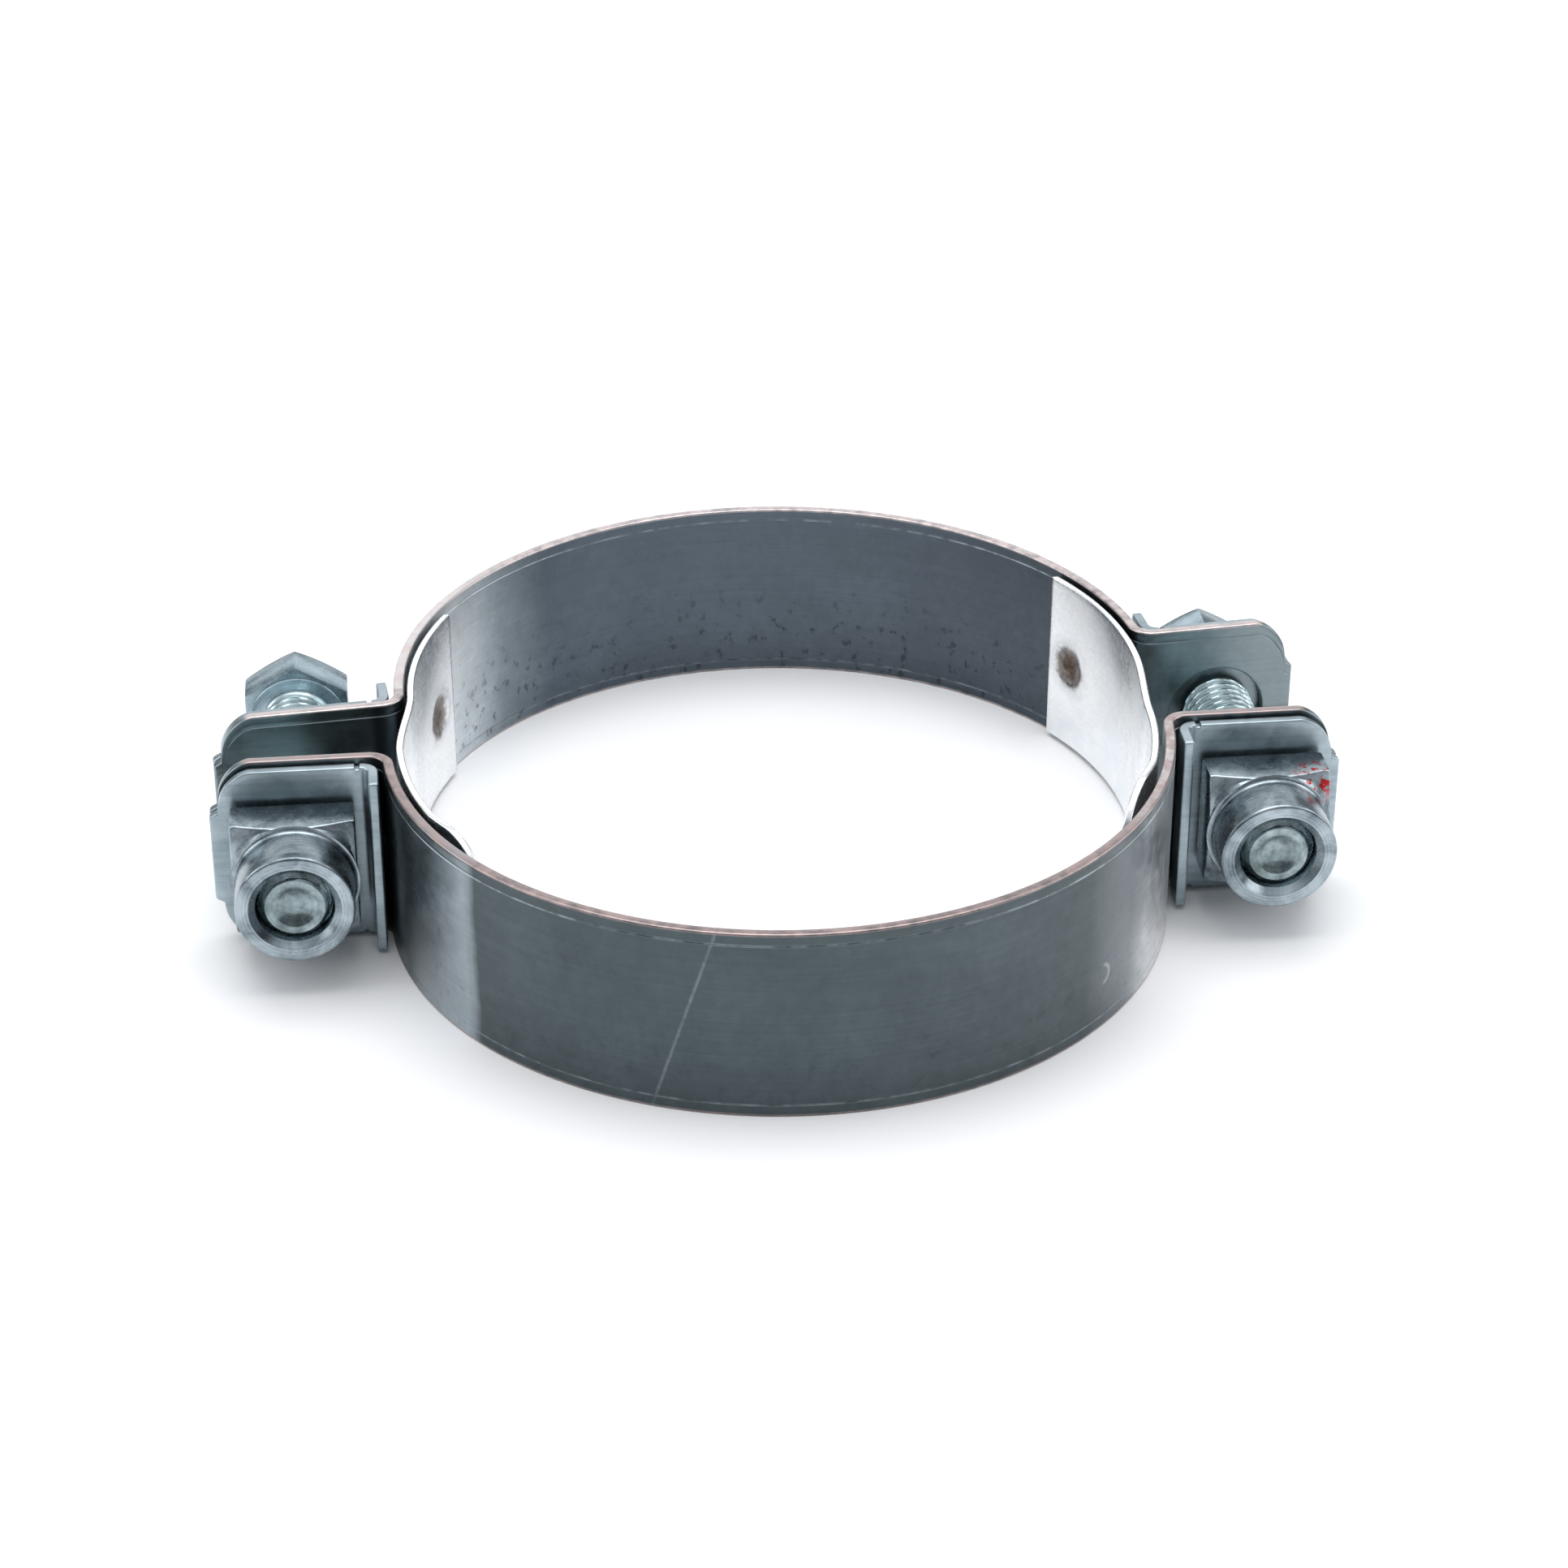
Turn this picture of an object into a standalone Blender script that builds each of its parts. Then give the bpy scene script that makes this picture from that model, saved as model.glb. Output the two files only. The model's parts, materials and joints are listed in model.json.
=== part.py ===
"""Two-bolt pipe repair clamp: two half bands, four backing plates, two inner
bridge plates, two square collar nuts and two long hexagon bolts.

Frame: metres, +Z up. Z is the clamp's axis, midway between its two halves, and
the bands' bottom rims lie at z = 0. The ears run along X and the bolts along Y.
The front half, with the nuts, is on the -Y side and stands square. The rear
half hangs loose on the bolts, a little turned, so each half has its own axis.
"""
import math

import bmesh
import bpy
from mathutils import Matrix, Vector

MM = 0.001

# ---- driving dimensions -------------------------------------------------
FRONT_RADIUS = 42.0 * MM          # outer radius of the front half ring
REAR_PINCH = 0.4 * MM             # how much tighter the rear half ring is
FRONT_SHIFT = 6.2 * MM            # how far the front half stands towards -Y
REAR_SHIFT = 6.25 * MM            # how far the rear half stands towards +Y
REAR_TURN = math.radians(5.3)     # how far the loose rear half is turned about Z
REAR_SIDEWAYS = 1.1 * MM          # how far its arc lies to +X of the middle of its ears
BAND_WIDTH = 21.2 * MM            # height of both bands along Z
BAND_THICKNESS = 1.1 * MM
EAR_BEND_RADIUS = 1.6 * MM        # inside radius of the bend into each ear
EAR_END = 8.7 * MM                # from a bolt's axis to the outer end of the ear's tab
FRONT_EAR_FACE = 1.1 * MM         # gap-side face of the ears, from their own half's axis
REAR_EAR_FACE = 0.35 * MM

TAB_DROP = 5.5 * MM               # from the band's edge to the edge of the ear's outermost tab
TAB_STEP = 0.9 * MM               # how far the tab stands out past the cut corner
TAB_OVERRUN = 0.18 * MM           # the tab's slanted edge runs this far past its end
CORNER_RUN = 3.6 * MM             # cut corner, along X
CORNER_DROP = 4.8 * MM            # cut corner, along Z
CORNER_FLANK = 1.3                # exponents of its outline: 1 and 1 would be a quarter ellipse
CORNER_CROWN = 0.9

PLATE_THICKNESS = 1.1 * MM        # backing plate
PLATE_EDGE_INSET = 0.5 * MM       # how much lower than the band its long edges lie
PLATE_BEND_RADIUS = 0.8 * MM      # inside radius of the bend into the lip
LIP_REACH = 4.8 * MM              # lip, from the plate's ear-side face
RELIEF_WIDTH = 0.8 * MM           # notch beside the lip's bend, along X
RELIEF_DEPTH = 0.5 * MM           # the same notch, along Z

BOLT_DIAMETER = 8.0 * MM
BOLT_LENGTH = 40.0 * MM           # under the head
BOLT_TIP_CHAMFER = 0.9 * MM
BOLT_TIP_RECESS = 0.6 * MM        # tip, behind the nut's front face
DISH_DIAMETER = 4.8 * MM          # hollow in the bolt's end
DISH_DEPTH = 0.7 * MM
DISH_FLOOR_RADIUS = 1.4 * MM      # where its flatter floor ends
DISH_FLOOR_DEPTH = 0.5 * MM
HEAD_ACROSS_FLATS = 11.4 * MM
HEAD_HEIGHT = 5.3 * MM
HEAD_CHAMFER = 0.7 * MM           # of its corners, along the bolt
HEAD_TOP_INSET = 0.2 * MM         # from a flat to the round end face
WASHER_DIAMETER = 10.8 * MM       # raised washer face under the head
WASHER_HEIGHT = 0.4 * MM

NUT_ACROSS_FLATS = 13.0 * MM
NUT_BODY_HEIGHT = 5.0 * MM
NUT_CORNER_DROP = 1.2 * MM        # turned-off corners of the square body
NUT_LENGTH = 10.6 * MM
COLLAR_DIAMETER = 12.4 * MM
COLLAR_EDGE = 0.35 * MM
MOUTH_WIDENING = 1.6 * MM         # countersink of the thread, over the bolt's diameter
NUT_SLACK = 0.7 * MM              # free play between nut and backing plate

BRIDGE_THICKNESS = 0.8 * MM       # inner plates across the ears' gaps
BRIDGE_EDGE_INSET = 0.5 * MM      # how much lower than the band their long edges lie
BRIDGE_TAIL = {"left": math.radians(27.3), "right": math.radians(31.2)}
BRIDGE_TONGUE = {"left": math.radians(33.5), "right": math.radians(28.5)}
BRIDGE_CROSSING_STEPS = 4         # pieces of its easy bend from wall to wall
BRIDGE_FLARE = 0.9 * MM           # inward lift of its tip
BRIDGE_FLARE_ARC = math.radians(13.0)
BRIDGE_CORNER = 5.5 * MM          # cut corners of the free tip
CLOSING_TRAVEL = 1.0 * MM         # how far the halves can still close before it touches

# ---- clearances ---------------------------------------------------------
SEAT_GAP = 0.3 * MM               # between two pieces that rest on each other
THREAD_GAP = 0.25 * MM            # bolt to nut, on the radius
LIP_WALL_GAP = 0.4 * MM           # lip to the ring's wall, where the ear's outer face meets it
NUT_LIP_GAP = 1.55 * MM           # square nut to the lip beside it
PLATE_HOLE_PLAY = 0.9 * MM        # plate hole over the bolt, with the rear half turned
EAR_HOLE_STEP = 1.0 * MM          # ear hole over the plate's hole, on the diameter
BRIDGE_WALL_GAP = 0.45 * MM       # bridge plate to the front band's inner wall

# ---- resolution ---------------------------------------------------------
ARC_STEP = math.radians(4.0)      # facets of a band's ring
ROUND_SIDES = 40                  # facets of a full circle on small round pieces
BEND_STEPS = 6
BLANK_MARGIN = 0.15 * MM          # turned blanks stand out past the flats cut on them

# ---- derived ------------------------------------------------------------
MID_HEIGHT = BAND_WIDTH / 2
TAB_HALF_HEIGHT = MID_HEIGHT - TAB_DROP
REAR_RADIUS = FRONT_RADIUS - REAR_PINCH
SIDES = {"left": -1, "right": 1}


class Half:
    """One half ring, described on the +Y side of its own axis."""

    def __init__(self, radius, sideways, ear_face):
        self.radius = radius
        self.sideways = sideways
        self.ear_face = ear_face

    def lip_x(self, side):
        """How far out a lip's ring-side face is: just clear of the ring's wall."""
        rise = self.ear_face + BAND_THICKNESS
        wall = math.sqrt(self.radius ** 2 - rise ** 2)
        return wall + side * self.sideways + LIP_WALL_GAP

    def plate_face(self):
        """Outer face of the backing plate, where the nut or the head bears."""
        return self.ear_face + BAND_THICKNESS + SEAT_GAP + PLATE_THICKNESS


FRONT = Half(FRONT_RADIUS, 0.0, FRONT_EAR_FACE)
REAR = Half(REAR_RADIUS, REAR_SIDEWAYS, REAR_EAR_FACE)
FRONT_PLACE = Matrix.Translation((0, -FRONT_SHIFT, 0)) @ Matrix.Rotation(math.pi, 4, "Z")
REAR_PLACE = Matrix.Translation((0, REAR_SHIFT, 0)) @ Matrix.Rotation(REAR_TURN, 4, "Z")

BOLT_X = FRONT.lip_x(1) + PLATE_THICKNESS + NUT_LIP_GAP + NUT_ACROSS_FLATS / 2
EAR_REACH = BOLT_X + EAR_END
EAR_BODY_X = EAR_REACH - TAB_STEP

# The turned rear plates' holes miss the bolts' axes by this much at worst.
TURN_OFFSET = BOLT_X * (1 - math.cos(REAR_TURN)) + REAR.plate_face() * math.sin(REAR_TURN)
PLATE_HOLE_DIAMETER = BOLT_DIAMETER + 2 * TURN_OFFSET + PLATE_HOLE_PLAY
EAR_HOLE_DIAMETER = PLATE_HOLE_DIAMETER + EAR_HOLE_STEP

GALVANISED = (0.42, 0.46, 0.50, 1.0)
DARK_ZINC = (0.30, 0.33, 0.36, 1.0)
BRIGHT_ZINC = (0.62, 0.66, 0.70, 1.0)
THREAD_ZINC = (0.56, 0.58, 0.50, 1.0)


# ---- scene helpers ------------------------------------------------------
def clear_scene():
    for old in list(bpy.data.objects):
        bpy.data.objects.remove(old, do_unlink=True)


def new_collection(name):
    collection = bpy.data.collections.new(name)
    bpy.context.scene.collection.children.link(collection)
    return collection


def material(name, colour, roughness, metallic=1.0):
    made = bpy.data.materials.new(name)
    made.use_nodes = True
    shader = made.node_tree.nodes["Principled BSDF"]
    shader.inputs["Base Color"].default_value = colour
    shader.inputs["Roughness"].default_value = roughness
    shader.inputs["Metallic"].default_value = metallic
    return made


def add_object(name, mesh, collection, finish=None, parent=None):
    item = bpy.data.objects.new(name, mesh)
    collection.objects.link(item)
    if finish is not None:
        mesh.materials.append(finish)
    item.parent = parent
    return item


def add_empty(name, collection, matrix):
    """A guide that carries a half of the clamp or marks a joint's axis."""
    guide = bpy.data.objects.new(name, None)
    collection.objects.link(guide)
    guide.matrix_world = matrix
    return guide


def mesh_from(bm, name):
    bmesh.ops.recalc_face_normals(bm, faces=bm.faces)
    mesh = bpy.data.meshes.new(name)
    bm.to_mesh(mesh)
    bm.free()
    return mesh


def shade_round(mesh):
    mesh.shade_smooth()
    mesh.set_sharp_from_angle(angle=math.radians(30))


def cut(target, cutter, operation="DIFFERENCE"):
    modifier = target.modifiers.new(cutter.name, "BOOLEAN")
    modifier.operation = operation
    modifier.solver = "EXACT"
    modifier.object = cutter


def as_cutter(item):
    item.hide_render = True
    item.display_type = "WIRE"
    return item


# ---- plan curves --------------------------------------------------------
def arc_points(centre, radius, start, end, steps):
    """Points from angle start to angle end, both included."""
    return [
        (centre[0] + radius * math.cos(start + (end - start) * i / steps),
         centre[1] + radius * math.sin(start + (end - start) * i / steps))
        for i in range(steps + 1)
    ]


def half_band_path(half):
    """Mid-line of a half band on the +Y side, from its right ear to its left."""
    ring = half.radius - BAND_THICKNESS / 2
    bend = EAR_BEND_RADIUS + BAND_THICKNESS / 2
    ear_y = half.ear_face + BAND_THICKNESS / 2
    rise = ear_y + bend
    spread = math.sqrt((ring + bend) ** 2 - rise ** 2)
    start = math.atan2(rise, spread)

    def ear(side):
        centre = (spread + side * half.sideways, rise)
        corner = arc_points(centre, bend, -math.pi / 2, start - math.pi, BEND_STEPS)
        return [(side * x, y) for x, y in [(EAR_REACH, ear_y)] + corner]

    steps = round((math.pi - 2 * start) / ARC_STEP)
    crown = arc_points((half.sideways, 0), ring, start, math.pi - start, steps)
    return ear(1) + crown[1:-1] + list(reversed(ear(-1)))


def backing_plate_path(half, side):
    """Mid-line of a backing plate behind a +Y side ear, drawn on the right."""
    mid_y = half.plate_face() - PLATE_THICKNESS / 2
    mid_x = half.lip_x(side) + PLATE_THICKNESS / 2
    bend = PLATE_BEND_RADIUS + PLATE_THICKNESS / 2
    tip_y = mid_y - PLATE_THICKNESS / 2 + LIP_REACH
    corner = arc_points((mid_x + bend, mid_y + bend), bend, -math.pi / 2, -math.pi, BEND_STEPS)
    return [(EAR_REACH, mid_y)] + corner + [(mid_x, tip_y)]


def bridge_path(side_name):
    """Mid-line of a bridge plate, drawn on the right: welded tail first, free tip last.

    It follows the rear band's inner wall, crosses the ears' gap to the front
    band's inner wall, keeps clear of that by the travel left for closing, and
    lifts further inward at its tip.
    """
    tail, tongue = BRIDGE_TAIL[side_name], BRIDGE_TONGUE[side_name]
    arc_centre = REAR_PLACE @ Vector((REAR_SIDEWAYS, 0, 0))
    rear_x, rear_y = SIDES[side_name] * arc_centre.x, arc_centre.y
    rear_seat = REAR_RADIUS - BAND_THICKNESS - SEAT_GAP - BRIDGE_THICKNESS / 2
    front_seat = FRONT_RADIUS - BAND_THICKNESS - BRIDGE_WALL_GAP - BRIDGE_THICKNESS / 2
    points = arc_points((rear_x, rear_y), rear_seat, tail, 0, round(tail / ARC_STEP) * 2)
    for i in range(1, BRIDGE_CROSSING_STEPS):
        share = i / BRIDGE_CROSSING_STEPS
        eased = share * share * (3 - 2 * share)
        x = rear_x + rear_seat + (front_seat - rear_x - rear_seat) * eased
        points.append((x, rear_y - (rear_y + FRONT_SHIFT) * share))
    steps = round(tongue / ARC_STEP) * 2
    for i in range(steps + 1):
        turn = tongue * i / steps
        flared = max(turn - (tongue - BRIDGE_FLARE_ARC), 0.0) / BRIDGE_FLARE_ARC
        lift = CLOSING_TRAVEL * math.sin(turn) + BRIDGE_FLARE * math.sin(flared * math.pi / 2)
        radius = front_seat - lift
        points.append((radius * math.cos(turn), -FRONT_SHIFT - radius * math.sin(turn)))
    return points


# ---- solids -------------------------------------------------------------
def sheet(name, path, edge_inset, thickness, collection, finish, parent):
    """A vertical strip along a plan path, given its thickness by Solidify."""
    bm = bmesh.new()
    foot = [bm.verts.new((x, y, edge_inset)) for x, y in path]
    edges = [bm.edges.new(pair) for pair in zip(foot, foot[1:])]
    made = bmesh.ops.extrude_edge_only(bm, edges=edges)["geom"]
    top = [item for item in made if isinstance(item, bmesh.types.BMVert)]
    bmesh.ops.translate(bm, verts=top, vec=(0, 0, BAND_WIDTH - 2 * edge_inset))
    mesh = mesh_from(bm, name)
    shade_round(mesh)
    item = add_object(name, mesh, collection, finish, parent)
    solid = item.modifiers.new("Thickness", "SOLIDIFY")
    solid.thickness = thickness
    solid.offset = 0
    solid.use_even_offset = True
    return item


def outline_cutter(name, points, depth, collection, parent=None):
    """A flat outline in the XZ plane, extruded to both sides along Y."""
    bm = bmesh.new()
    face = bm.faces.new([bm.verts.new((x, -depth / 2, z)) for x, z in points])
    made = bmesh.ops.extrude_face_region(bm, geom=[face])["geom"]
    moved = [item for item in made if isinstance(item, bmesh.types.BMVert)]
    bmesh.ops.translate(bm, verts=moved, vec=(0, depth, 0))
    return as_cutter(add_object(name, mesh_from(bm, name), collection, parent=parent))


def round_cutter(name, diameter, depth, x, collection, parent=None):
    """A round bar along Y at the bolt's height."""
    bm = bmesh.new()
    bmesh.ops.create_cone(bm, cap_ends=True, segments=ROUND_SIDES,
                          radius1=diameter / 2, radius2=diameter / 2, depth=depth)
    bmesh.ops.rotate(bm, verts=bm.verts, matrix=Matrix.Rotation(math.pi / 2, 3, "X"))
    bmesh.ops.translate(bm, verts=bm.verts, vec=(x, 0, MID_HEIGHT))
    return as_cutter(add_object(name, mesh_from(bm, name), collection, parent=parent))


def prism_cutter(name, sides, radius, bottom, top, collection, parent, matrix):
    """A regular prism along local Z, with a flat side facing local X."""
    bm = bmesh.new()
    place = Matrix.Translation((0, 0, (bottom + top) / 2)) @ Matrix.Rotation(math.pi / sides, 4, "Z")
    bmesh.ops.create_cone(bm, cap_ends=True, segments=sides, radius1=radius,
                          radius2=radius, depth=top - bottom, matrix=place)
    cutter = as_cutter(add_object(name, mesh_from(bm, name), collection, parent=parent))
    cutter.matrix_local = matrix
    return cutter


def corner_outline(side, level, edge_inset):
    """What is cut off an ear's outer corner, side -1 or 1 and level -1 or 1."""
    edge = MID_HEIGHT - edge_inset
    margin = 2 * TAB_STEP
    start_x = EAR_BODY_X - CORNER_RUN
    outline = [(start_x, edge + margin)]
    for i in range(BEND_STEPS + 1):
        turn = math.pi / 2 * (1 - i / BEND_STEPS)
        x = start_x + CORNER_RUN * math.cos(turn) ** CORNER_FLANK
        z = edge - CORNER_DROP * (1 - math.sin(turn) ** CORNER_CROWN)
        outline.append((x, z))
    outline.append((EAR_BODY_X, TAB_HALF_HEIGHT + TAB_STEP / 2))
    outline.append((EAR_REACH + TAB_OVERRUN, TAB_HALF_HEIGHT))
    outline.append((EAR_REACH + margin, TAB_HALF_HEIGHT))
    outline.append((EAR_REACH + margin, edge + margin))
    return [(side * x, MID_HEIGHT + level * z) for x, z in outline]


def shape_ear(item, side, hole, edge_inset, cutters, parent, reach):
    """Cut an ear's two outer corners and its bolt hole, side -1 or 1."""
    for level in (-1, 1):
        name = f"{item.name}_corner_{side}_{level}"
        points = corner_outline(side, level, edge_inset)
        cut(item, outline_cutter(name, points, reach, cutters, parent))
    name = f"{item.name}_hole_{side}"
    cut(item, round_cutter(name, hole, reach, side * BOLT_X, cutters, parent))


def turned(name, profile, collection, finish, parent, matrix):
    """A solid of revolution: (radius, along) pairs turned about local Y."""
    bm = bmesh.new()
    verts = [bm.verts.new((radius, 0, along)) for radius, along in profile]
    for pair in zip(verts, verts[1:]):
        bm.edges.new(pair)
    mesh = bpy.data.meshes.new(name)
    bm.to_mesh(mesh)
    bm.free()
    item = add_object(name, mesh, collection, finish, parent)
    item.matrix_local = matrix
    screw = item.modifiers.new("Turn", "SCREW")
    screw.axis = "Z"
    screw.steps = ROUND_SIDES
    screw.render_steps = ROUND_SIDES
    screw.use_merge_vertices = True
    screw.merge_threshold = 0.00001
    screw.use_smooth_shade = False
    return item


def half_band(name, half, parent, parts, cutters, finish):
    reach = 4 * (half.ear_face + BAND_THICKNESS)
    band = sheet(name, half_band_path(half), 0, BAND_THICKNESS, parts, finish, parent)
    for side in SIDES.values():
        shape_ear(band, side, EAR_HOLE_DIAMETER, 0, cutters, parent, reach)
    return band


def backing_plate(name, side, half, parent, parts, cutters, finish):
    """A plate on an ear's outer face; its lip keeps the square nut from turning."""
    path = [(side * x, y) for x, y in backing_plate_path(half, side)]
    plate = sheet(name, path, PLATE_EDGE_INSET, PLATE_THICKNESS, parts, finish, parent)
    reach = 4 * (half.ear_face + BAND_THICKNESS + PLATE_THICKNESS + LIP_REACH)
    shape_ear(plate, side, PLATE_HOLE_DIAMETER, PLATE_EDGE_INSET, cutters, parent, reach)
    near = half.lip_x(side) + PLATE_THICKNESS + PLATE_BEND_RADIUS
    for level in (-1, 1):
        edge = MID_HEIGHT - PLATE_EDGE_INSET
        notch = [(near, edge - RELIEF_DEPTH), (near, edge + RELIEF_DEPTH),
                 (near + RELIEF_WIDTH, edge + RELIEF_DEPTH), (near + RELIEF_WIDTH, edge - RELIEF_DEPTH)]
        points = [(side * x, MID_HEIGHT + level * z) for x, z in notch]
        cut(plate, outline_cutter(f"{name}_relief_{level}", points, reach, cutters, parent))
    return plate


def bridge_plate(name, side_name, parent, parts, cutters, finish):
    """A spring plate across an ears' gap, with its free tip's corners cut off."""
    path = [(SIDES[side_name] * x, y) for x, y in bridge_path(side_name)]
    plate = sheet(name, path, BRIDGE_EDGE_INSET, BRIDGE_THICKNESS, parts, finish, parent)
    tip = Vector(path[-1])
    along = tip - Vector(path[-2])
    place = Matrix.Translation((tip.x, tip.y, 0)) @ Matrix.Rotation(math.atan2(along.y, along.x), 4, "Z")
    edge = MID_HEIGHT - BRIDGE_EDGE_INSET
    far = BRIDGE_CORNER
    outline = [(-BRIDGE_CORNER, edge), (0, edge - BRIDGE_CORNER), (far, edge - BRIDGE_CORNER),
               (far, edge + far), (-BRIDGE_CORNER, edge + far)]
    for level in (-1, 1):
        points = [(x, MID_HEIGHT + level * z) for x, z in outline]
        cutter = outline_cutter(f"{name}_corner_{level}", points, 2 * far, cutters, parent)
        cutter.matrix_local = place
        cut(plate, cutter)
    return plate


def nut_front():
    """Y of the nuts' front faces, on the -Y side."""
    return -(FRONT_SHIFT + FRONT.plate_face() + NUT_SLACK + NUT_LENGTH)


def facing_front(x, y):
    """A local frame at the bolt's height whose Z runs out towards -Y."""
    place = Matrix.Translation((x, y, MID_HEIGHT))
    return place @ Matrix.Rotation(math.pi / 2, 4, "X")


def square_nut(name, side, parent, parts, cutters, finish):
    """A square nut with turned-off corners and a round collar, bored through."""
    bore = BOLT_DIAMETER / 2 + THREAD_GAP
    mouth = (BOLT_DIAMETER + MOUTH_WIDENING) / 2
    collar = COLLAR_DIAMETER / 2
    corner = NUT_ACROSS_FLATS / math.sqrt(2) + BLANK_MARGIN
    fall = NUT_CORNER_DROP / (NUT_ACROSS_FLATS / 2 * (math.sqrt(2) - 1))
    rim = NUT_BODY_HEIGHT - fall * (corner - NUT_ACROSS_FLATS / 2)
    top = NUT_BODY_HEIGHT + fall * (NUT_ACROSS_FLATS / 2 - collar)
    profile = [
        (bore, NUT_LENGTH - (mouth - bore)), (mouth, NUT_LENGTH),
        (collar - COLLAR_EDGE, NUT_LENGTH), (collar, NUT_LENGTH - COLLAR_EDGE),
        (collar, top), (corner, rim), (corner, 0), (mouth, 0), (bore, mouth - bore),
    ]
    profile.append(profile[0])
    place = facing_front(side * BOLT_X, nut_front() + NUT_LENGTH)
    nut = turned(name, profile, parts, finish, parent, place)
    square = prism_cutter(f"{name}_square", 4, NUT_ACROSS_FLATS / math.sqrt(2),
                          -NUT_LENGTH, 2 * NUT_LENGTH, cutters, parent, place)
    cut(nut, square, "INTERSECT")
    return nut


def hex_bolt(name, parent, parts, cutters, finish):
    """A hexagon bolt along its parent's Y, with its tip end towards -Y."""
    shank = BOLT_DIAMETER / 2
    tip = BOLT_LENGTH
    dish = DISH_DIAMETER / 2
    washer = WASHER_DIAMETER / 2
    corner = HEAD_ACROSS_FLATS / math.sqrt(3) + BLANK_MARGIN
    end_face = HEAD_ACROSS_FLATS / 2 - HEAD_TOP_INSET
    profile = [
        (0, tip - DISH_DEPTH), (DISH_FLOOR_RADIUS, tip - DISH_FLOOR_DEPTH), (dish, tip),
        (shank - BOLT_TIP_CHAMFER, tip), (shank, tip - BOLT_TIP_CHAMFER),
        (shank, 0), (washer, 0), (washer, -WASHER_HEIGHT), (corner, -WASHER_HEIGHT),
        (corner, -HEAD_HEIGHT + HEAD_CHAMFER), (end_face, -HEAD_HEIGHT), (0, -HEAD_HEIGHT),
    ]
    place = Matrix.Rotation(math.pi / 2, 4, "X")
    bolt = turned(name, profile, parts, finish, parent, place)
    hexagon = prism_cutter(f"{name}_hexagon", 6, HEAD_ACROSS_FLATS / math.sqrt(3),
                           -2 * HEAD_HEIGHT, 2 * BOLT_LENGTH, cutters, parent, place)
    cut(bolt, hexagon, "INTERSECT")
    return bolt


def main():
    clear_scene()
    parts = new_collection("pipe_repair_clamp")
    cutters = new_collection("cutters")
    band_zinc = material("band_zinc", GALVANISED, roughness=0.42)
    plate_zinc = material("plate_zinc", DARK_ZINC, roughness=0.45)
    bridge_zinc = material("bridge_zinc", BRIGHT_ZINC, roughness=0.28)
    nut_zinc = material("nut_zinc", BRIGHT_ZINC, roughness=0.30)
    bolt_zinc = material("bolt_zinc", THREAD_ZINC, roughness=0.32)

    middle = add_empty("clamp_axis", parts, Matrix.Identity(4))
    front = add_empty("front_half_axis", parts, FRONT_PLACE)
    rear = add_empty("rear_half_axis", parts, REAR_PLACE)

    half_band("front_band", FRONT, front, parts, cutters, band_zinc)
    half_band("rear_band", REAR, rear, parts, cutters, band_zinc)
    bolt_top = nut_front() + BOLT_TIP_RECESS + BOLT_LENGTH
    for side_name, side in SIDES.items():
        backing_plate(f"front_backing_plate_{side_name}", -side, FRONT,
                      front, parts, cutters, plate_zinc)
        backing_plate(f"rear_backing_plate_{side_name}", side, REAR,
                      rear, parts, cutters, plate_zinc)
        bridge_plate(f"bridge_plate_{side_name}", side_name, middle, parts, cutters, bridge_zinc)
        square_nut(f"square_nut_{side_name}", side, middle, parts, cutters, nut_zinc)
        axis = add_empty(f"bolt_axis_{side_name}", parts,
                         Matrix.Translation((side * BOLT_X, bolt_top, MID_HEIGHT)))
        hex_bolt(f"hex_bolt_{side_name}", axis, parts, cutters, bolt_zinc)


main()
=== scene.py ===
"""Looks of the two-bolt pipe repair clamp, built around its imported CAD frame.

Every piece is remade at full detail where the frame says it is: rolled and bent
sheet with rounded rims, turned nuts, and bolts with real threads.
"""
import json
import math

import bmesh
import bpy
from mathutils import Matrix, Vector


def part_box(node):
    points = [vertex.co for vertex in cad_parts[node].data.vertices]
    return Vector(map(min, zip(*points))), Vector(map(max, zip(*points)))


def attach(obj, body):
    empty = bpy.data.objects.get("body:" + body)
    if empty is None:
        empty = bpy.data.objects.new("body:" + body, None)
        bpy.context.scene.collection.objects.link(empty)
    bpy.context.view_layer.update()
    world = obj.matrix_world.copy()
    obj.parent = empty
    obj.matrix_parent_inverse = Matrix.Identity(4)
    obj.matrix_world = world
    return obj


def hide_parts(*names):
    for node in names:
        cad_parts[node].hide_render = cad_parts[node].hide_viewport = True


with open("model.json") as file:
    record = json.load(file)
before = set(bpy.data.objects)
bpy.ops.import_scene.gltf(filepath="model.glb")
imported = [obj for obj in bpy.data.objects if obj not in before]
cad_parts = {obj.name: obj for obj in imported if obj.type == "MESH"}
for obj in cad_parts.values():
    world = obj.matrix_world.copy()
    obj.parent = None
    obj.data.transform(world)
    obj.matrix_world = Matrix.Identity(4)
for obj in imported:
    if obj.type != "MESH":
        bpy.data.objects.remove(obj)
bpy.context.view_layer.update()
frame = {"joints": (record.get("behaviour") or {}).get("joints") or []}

MM = 0.001

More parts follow.
